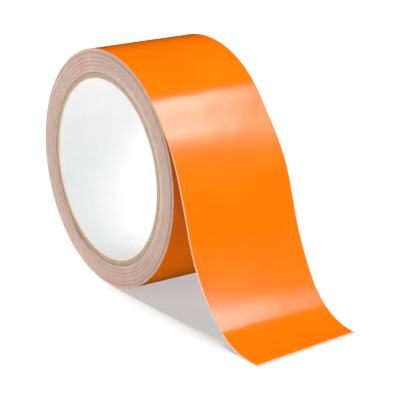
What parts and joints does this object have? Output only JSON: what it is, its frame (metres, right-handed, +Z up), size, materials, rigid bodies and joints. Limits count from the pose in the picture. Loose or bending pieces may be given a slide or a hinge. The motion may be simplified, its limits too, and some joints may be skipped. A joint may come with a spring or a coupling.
{
  "type": "adhesive tape roll",
  "caption": "Wide roll of glossy marking tape on a spirally wound paperboard core, with a liner-backed free end that peels and bends down to the surface.",
  "frame": {"origin": "centre of the core's bore, half way along it", "axes": "+Y along the roll's axis, +Z up when the roll stands on its rim, +X to the side where the free end leaves and comes down"},
  "size_m": [0.1568, 0.0508, 0.1015],
  "materials": {
    "film": "glossy bright orange vinyl film",
    "adhesive": "pale amber pressure-sensitive adhesive",
    "liner_paper": "coated release paper, off-white",
    "lining_paper": "bleached smooth paper",
    "chipboard": "grey-brown recycled chipboard",
    "kraft_paper": "brown kraft paper"
  },
  "bodies": {
    "roll": {"core_lining_ply": "lining_paper", "core_board_ply_1": "chipboard", "core_board_ply_2": "chipboard", "core_board_ply_3": "chipboard", "core_board_ply_4": "chipboard", "core_kraft_ply": "kraft_paper", "wound_film": "film", "wound_adhesive": "adhesive", "wound_liner": "liner_paper", "outer_wrap_film": "film", "outer_wrap_adhesive": "adhesive", "outer_wrap_liner": "liner_paper"},
    "tail_upper": {"tail_upper_film": "film", "tail_upper_adhesive": "adhesive", "tail_upper_liner": "liner_paper"},
    "tail_middle": {"tail_middle_film": "film", "tail_middle_adhesive": "adhesive", "tail_middle_liner": "liner_paper"},
    "tail_lower": {"tail_lower_film": "film", "tail_lower_adhesive": "adhesive", "tail_lower_liner": "liner_paper"},
    "tail_toe": {"tail_toe_film": "film", "tail_toe_adhesive": "adhesive", "tail_toe_liner": "liner_paper"}
  },
  "joints": [
    {"name": "peel_line", "type": "hinge", "parent": "roll", "child": "tail_upper", "pos_m": [0.04509, 0, 0.02485], "axis": [0, -1, 0], "range_deg": [-9, 70], "stiffness_Nm_per_rad": 0.03},
    {"name": "tail_bend_upper", "type": "hinge", "parent": "tail_upper", "child": "tail_middle", "pos_m": [0.0576, 0, 0.00228], "axis": [0, -1, 0], "range_deg": [-10, 35], "stiffness_Nm_per_rad": 0.03},
    {"name": "tail_bend_middle", "type": "hinge", "parent": "tail_middle", "child": "tail_lower", "pos_m": [0.06712, 0, -0.02392], "axis": [0, -1, 0], "range_deg": [-20, 35], "stiffness_Nm_per_rad": 0.03},
    {"name": "tail_bend_lower", "type": "hinge", "parent": "tail_lower", "child": "tail_toe", "pos_m": [0.08293, 0, -0.04437], "axis": [0, -1, 0], "range_deg": [-30, 35], "stiffness_Nm_per_rad": 0.03}
  ]
}
